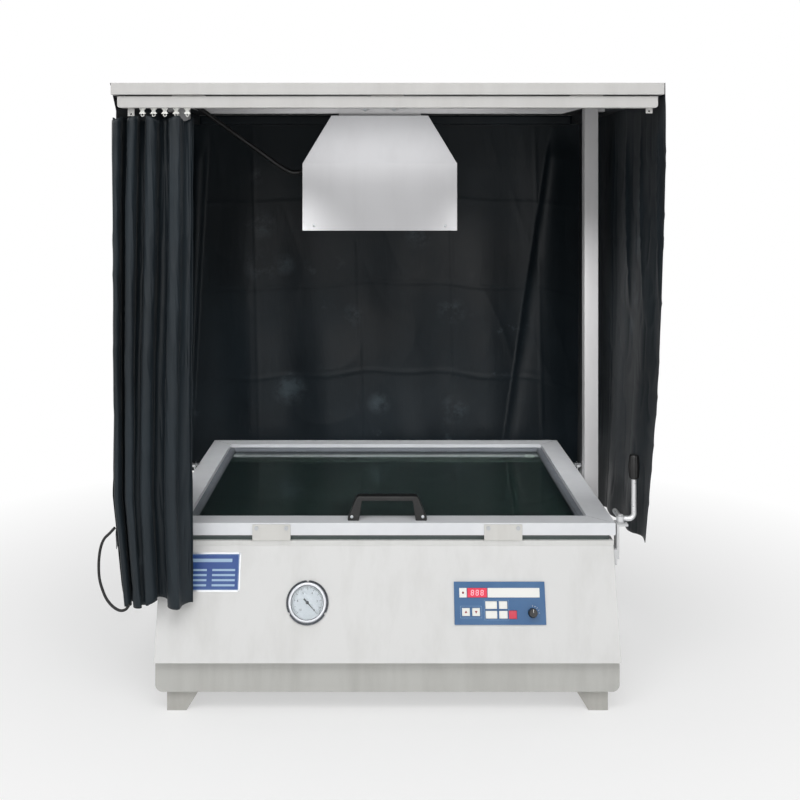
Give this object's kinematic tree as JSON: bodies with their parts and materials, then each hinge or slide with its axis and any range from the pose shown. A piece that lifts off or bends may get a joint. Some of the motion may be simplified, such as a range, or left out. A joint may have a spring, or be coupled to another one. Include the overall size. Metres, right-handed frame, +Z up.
{
  "type": "screen printing exposure unit",
  "caption": "Exposure cabinet with a sloped control front, vacuum blanket under a hinged glass frame, and a lamp hood on a gantry inside a dark curtained frame",
  "frame": {"origin": "on the floor, midway across the width and depth of the curtained top frame and the glass frame", "axes": "+Z up, -Y out of the sloped control front, +X to the right as seen from the front"},
  "size_m": [1.1891, 1.0145, 1.3607],
  "materials": {
    "base_paint": "satin mid grey powder coat",
    "bead_aluminium": "satin anodised strip",
    "blanket_rubber": "smooth dark rubber sheet",
    "board_green": "circuit board laminate",
    "cabinet_paint": "satin light grey powder coat",
    "cable_black": "black sheath",
    "ceramic": "glazed sockets",
    "clear_glass": "float glass",
    "core_steel": "varnished laminations",
    "curtain_cloth": "coated blackout cloth",
    "deck_paint": "satin light grey powder coat",
    "fan_plastic": "moulded fan",
    "foot_paint": "satin off-white powder coat",
    "gauge_steel": "polished steel case and flange",
    "glider_white": "white acetal",
    "handle_black": "moulded black nylon",
    "hood_paint": "satin white paint",
    "inlet_plastic": "moulded black plastic",
    "key_red": "moulded key cap",
    "key_white": "moulded key cap",
    "knob_black": "moulded knob",
    "lamp_glass": "frosted quartz",
    "lens_clear": "clear pane",
    "lever_mix": "bare rod with a black grip",
    "needle_dark": "thin painted pointer",
    "nozzle_mix": "grey strip with a white port",
    "panel_blue": "blue printed overlay on sheet",
    "plate_paint": "satin light grey paint",
    "post_paint": "satin light grey paint",
    "pump_paint": "grey-blue machine enamel",
    "rail_aluminium": "satin anodised extrusion",
    "reflector_aluminium": "bright rolled sheet",
    "rod_chrome": "hard chrome",
    "spring_black": "gloss black enamel",
    "zinc_steel": "zinc-plated steel"
  },
  "bodies": {
    "cabinet": {"cabinet_shell": "cabinet_paint", "rear_panel": "cabinet_paint", "power_inlet": "inlet_plastic", "base_tray": "base_paint", "deck": "deck_paint", "feet": "foot_paint", "rubber_blanket": "blanket_rubber", "vacuum_nozzle": "nozzle_mix", "base_hinge_leaves": "zinc_steel", "hinge_pins": "zinc_steel", "side_brackets": "zinc_steel", "lamp_gantry": "post_paint", "top_frame": "post_paint", "curtain_track": "post_paint", "lamp_bracket": "post_paint", "lamp_hood": "hood_paint", "lamp_reflector": "reflector_aluminium", "lamp_tube": "lamp_glass", "lamp_sockets": "ceramic", "lamp_gland": "cable_black", "lamp_cable": "cable_black", "gauge_case": "gauge_steel", "gauge_lens": "lens_clear", "control_plate": "panel_blue", "timer_board": "board_green", "vacuum_pump": "pump_paint", "vacuum_hose": "cable_black", "lamp_ballast": "core_steel", "front_curtain": "curtain_cloth", "side_curtains": "curtain_cloth", "rear_curtain": "curtain_cloth", "top_cover": "curtain_cloth"},
    "glass_frame": {"glass_frame_rails": "rail_aluminium", "glazing_beads": "bead_aluminium", "glass_pane": "clear_glass", "lift_handle": "handle_black", "catch_plates": "plate_paint", "frame_fasteners": "zinc_steel", "frame_hinge_leaves": "zinc_steel"},
    "left_spring_tube": {"left_gas_cylinder": "spring_black"},
    "right_spring_tube": {"right_gas_cylinder": "spring_black"},
    "left_spring_rod": {"left_gas_rod": "rod_chrome"},
    "right_spring_rod": {"right_gas_rod": "rod_chrome"},
    "left_hold_down": {"left_clamp_lever": "lever_mix"},
    "right_hold_down": {"right_clamp_lever": "lever_mix"},
    "needle": {"gauge_needle": "needle_dark"},
    "knob": {"selector_knob": "knob_black"},
    "fan": {"pump_fan": "fan_plastic"},
    "arrow_up_key_body": {"arrow_up_key": "key_white"},
    "arrow_down_key_body": {"arrow_down_key": "key_white"},
    "program_key_body": {"program_key": "key_white"},
    "light_key_body": {"light_key": "key_white"},
    "vacuum_key_body": {"vacuum_key": "key_white"},
    "timer_key_body": {"timer_key": "key_white"},
    "start_key_body": {"start_key": "key_red"},
    "glider_1_body": {"glider_1": "glider_white"},
    "glider_2_body": {"glider_2": "glider_white"},
    "glider_3_body": {"glider_3": "glider_white"},
    "glider_4_body": {"glider_4": "glider_white"},
    "glider_5_body": {"glider_5": "glider_white"}
  },
  "joints": [
    {"name": "frame_hinge", "type": "hinge", "parent": "cabinet", "child": "glass_frame", "pos_m": [0, 0.413, 0.357], "axis": [-1, 0, 0], "range_deg": [0, 45]},
    {"name": "left_spring_pivot", "type": "hinge", "parent": "cabinet", "child": "left_spring_tube", "pos_m": [-0.525, 0.32243, 0.13282], "axis": [-1, 0, 0], "range_deg": [0, 22.5]},
    {"name": "left_spring_stud", "type": "hinge", "parent": "glass_frame", "child": "left_spring_rod", "pos_m": [-0.525, 0.172, 0.3765], "axis": [-1, 0, 0], "range_deg": [-22.5, 0]},
    {"name": "right_spring_pivot", "type": "hinge", "parent": "cabinet", "child": "right_spring_tube", "pos_m": [0.525, 0.32243, 0.13282], "axis": [-1, 0, 0], "range_deg": [0, 22.5]},
    {"name": "right_spring_stud", "type": "hinge", "parent": "glass_frame", "child": "right_spring_rod", "pos_m": [0.525, 0.172, 0.3765], "axis": [-1, 0, 0], "range_deg": [-22.5, 0]},
    {"name": "right_hold_down_pivot", "type": "hinge", "parent": "cabinet", "child": "right_hold_down", "pos_m": [0.518, -0.392, 0.3963], "axis": [0, 0, 1], "range_deg": [0, 90]},
    {"name": "left_hold_down_pivot", "type": "hinge", "parent": "cabinet", "child": "left_hold_down", "pos_m": [-0.518, -0.392, 0.3963], "axis": [0, 0, -1], "range_deg": [0, 90]},
    {"name": "glider_5_slide", "type": "slide", "parent": "cabinet", "child": "glider_5_body", "axis": [1, 0, 0], "range_m": [0, 0.97], "deforming": ["front_curtain"]},
    {"name": "glider_1_slide", "type": "slide", "parent": "cabinet", "child": "glider_1_body", "axis": [1, 0, 0], "range_m": [0, 0.194]},
    {"name": "glider_2_slide", "type": "slide", "parent": "cabinet", "child": "glider_2_body", "axis": [1, 0, 0], "range_m": [0, 0.388]},
    {"name": "glider_3_slide", "type": "slide", "parent": "cabinet", "child": "glider_3_body", "axis": [1, 0, 0], "range_m": [0, 0.582]},
    {"name": "glider_4_slide", "type": "slide", "parent": "cabinet", "child": "glider_4_body", "axis": [1, 0, 0], "range_m": [0, 0.776]},
    {"name": "arrow_up_key_press", "type": "slide", "parent": "cabinet", "child": "arrow_up_key_body", "axis": [0, 0.9427, -0.3337], "range_m": [0, 0.0008], "stiffness_N_per_m": 600},
    {"name": "arrow_down_key_press", "type": "slide", "parent": "cabinet", "child": "arrow_down_key_body", "axis": [0, 0.9427, -0.3337], "range_m": [0, 0.0008], "stiffness_N_per_m": 600},
    {"name": "program_key_press", "type": "slide", "parent": "cabinet", "child": "program_key_body", "axis": [0, 0.9427, -0.3337], "range_m": [0, 0.0008], "stiffness_N_per_m": 600},
    {"name": "light_key_press", "type": "slide", "parent": "cabinet", "child": "light_key_body", "axis": [0, 0.9427, -0.3337], "range_m": [0, 0.0008], "stiffness_N_per_m": 600},
    {"name": "vacuum_key_press", "type": "slide", "parent": "cabinet", "child": "vacuum_key_body", "axis": [0, 0.9427, -0.3337], "range_m": [0, 0.0008], "stiffness_N_per_m": 600},
    {"name": "timer_key_press", "type": "slide", "parent": "cabinet", "child": "timer_key_body", "axis": [0, 0.9427, -0.3337], "range_m": [0, 0.0008], "stiffness_N_per_m": 600},
    {"name": "start_key_press", "type": "slide", "parent": "cabinet", "child": "start_key_body", "axis": [0, 0.9427, -0.3337], "range_m": [0, 0.0008], "stiffness_N_per_m": 600},
    {"name": "selector_turn", "type": "hinge", "parent": "cabinet", "child": "knob", "pos_m": [0.3145, -0.45138, 0.20897], "axis": [0, 0.9427, -0.3337], "range_deg": [0, 90]},
    {"name": "needle_turn", "type": "hinge", "parent": "cabinet", "child": "needle", "pos_m": [-0.174, -0.44438, 0.22876], "axis": [0, -0.9427, 0.3337], "range_deg": [0, 270], "stiffness_Nm_per_rad": 0.0008},
    {"name": "fan_spin", "type": "hinge", "parent": "cabinet", "child": "fan", "pos_m": [0.12, 0.17, 0.123], "axis": [1, 0, 0], "continuous": true}
  ],
  "couplings": [
    {"joint": "left_spring_pivot", "follows": "frame_hinge", "ratio": 0.5},
    {"joint": "left_spring_stud", "follows": "frame_hinge", "ratio": -0.5},
    {"joint": "right_spring_pivot", "follows": "frame_hinge", "ratio": 0.5},
    {"joint": "right_spring_stud", "follows": "frame_hinge", "ratio": -0.5},
    {"joint": "glider_1_slide", "follows": "glider_5_slide", "ratio": 0.2},
    {"joint": "glider_2_slide", "follows": "glider_5_slide", "ratio": 0.4},
    {"joint": "glider_3_slide", "follows": "glider_5_slide", "ratio": 0.6},
    {"joint": "glider_4_slide", "follows": "glider_5_slide", "ratio": 0.8}
  ]
}
